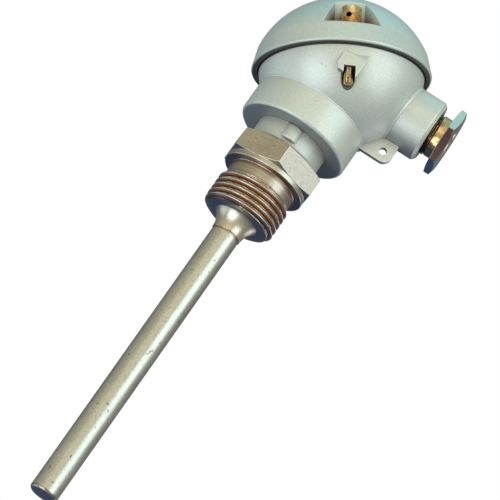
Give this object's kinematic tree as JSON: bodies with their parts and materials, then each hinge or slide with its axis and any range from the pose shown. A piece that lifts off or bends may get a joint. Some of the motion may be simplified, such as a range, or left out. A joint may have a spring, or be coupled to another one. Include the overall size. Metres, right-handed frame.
{
  "type": "resistance thermometer with connection head",
  "caption": "Screw-in resistance thermometer: closed steel tube, pipe-thread hex fitting and round cast head with a tilted screw-down lid, side cable gland and eye lug.",
  "frame": {"origin": "on the tube's axis, in the plane of the fitting's sealing face under the flange", "axes": "+Z along the tube's axis, out of the process and up into the head; +X towards the cable entry"},
  "size_m": [0.0575, 0.0488, 0.1658],
  "materials": {
    "cast_aluminium": "satin cast",
    "turned_steel": "turned",
    "tube_steel": "satin drawn",
    "brass": "turned",
    "plated_steel": "plated",
    "rubber": "matt",
    "ceramic": "glazed ceramic"
  },
  "bodies": {
    "fitting": {"protection_tube": "tube_steel", "tube_end_plug": "tube_steel", "process_fitting": "turned_steel", "neck_gasket": "rubber"},
    "head": {"head_body": "cast_aluminium", "gland_outer_washer": "plated_steel", "gland_seal": "rubber", "gland_inner_washer": "plated_steel", "terminal_base": "ceramic", "terminal_1": "brass", "terminal_2": "brass", "terminal_3": "brass", "terminal_4": "brass", "clamp_screws": "plated_steel", "base_screws": "plated_steel", "earth_screw": "plated_steel", "earth_washer": "plated_steel", "insulating_rod": "ceramic", "lead_wires": "plated_steel", "measuring_resistor": "ceramic"},
    "lid": {"lid": "cast_aluminium", "lid_gasket": "rubber"},
    "screw_front": {"lid_screw_front": "brass"},
    "screw_back": {"lid_screw_back": "brass"},
    "gland": {"gland_screw": "brass"}
  },
  "joints": [
    {"name": "head_turn", "type": "hinge", "parent": "fitting", "child": "head", "pos_m": [0, 0, 0.0085], "axis": [0, 0, 1], "range_deg": [-180, 180]},
    {"name": "lid_lift", "type": "slide", "parent": "head", "child": "lid", "axis": [-0.4924, 0, 0.8704], "range_m": [0, 0.03]},
    {"name": "front_screw_turn", "type": "hinge", "parent": "lid", "child": "screw_front", "pos_m": [-0.00061, -0.02, 0.03956], "axis": [-0.4924, 0, 0.8704], "continuous": true},
    {"name": "back_screw_turn", "type": "hinge", "parent": "lid", "child": "screw_back", "pos_m": [-0.00061, 0.02, 0.03956], "axis": [-0.4924, 0, 0.8704], "continuous": true},
    {"name": "gland_screw_turn", "type": "hinge", "parent": "head", "child": "gland", "pos_m": [0.0296, 0, 0.0385], "axis": [1, 0, 0], "continuous": true}
  ]
}
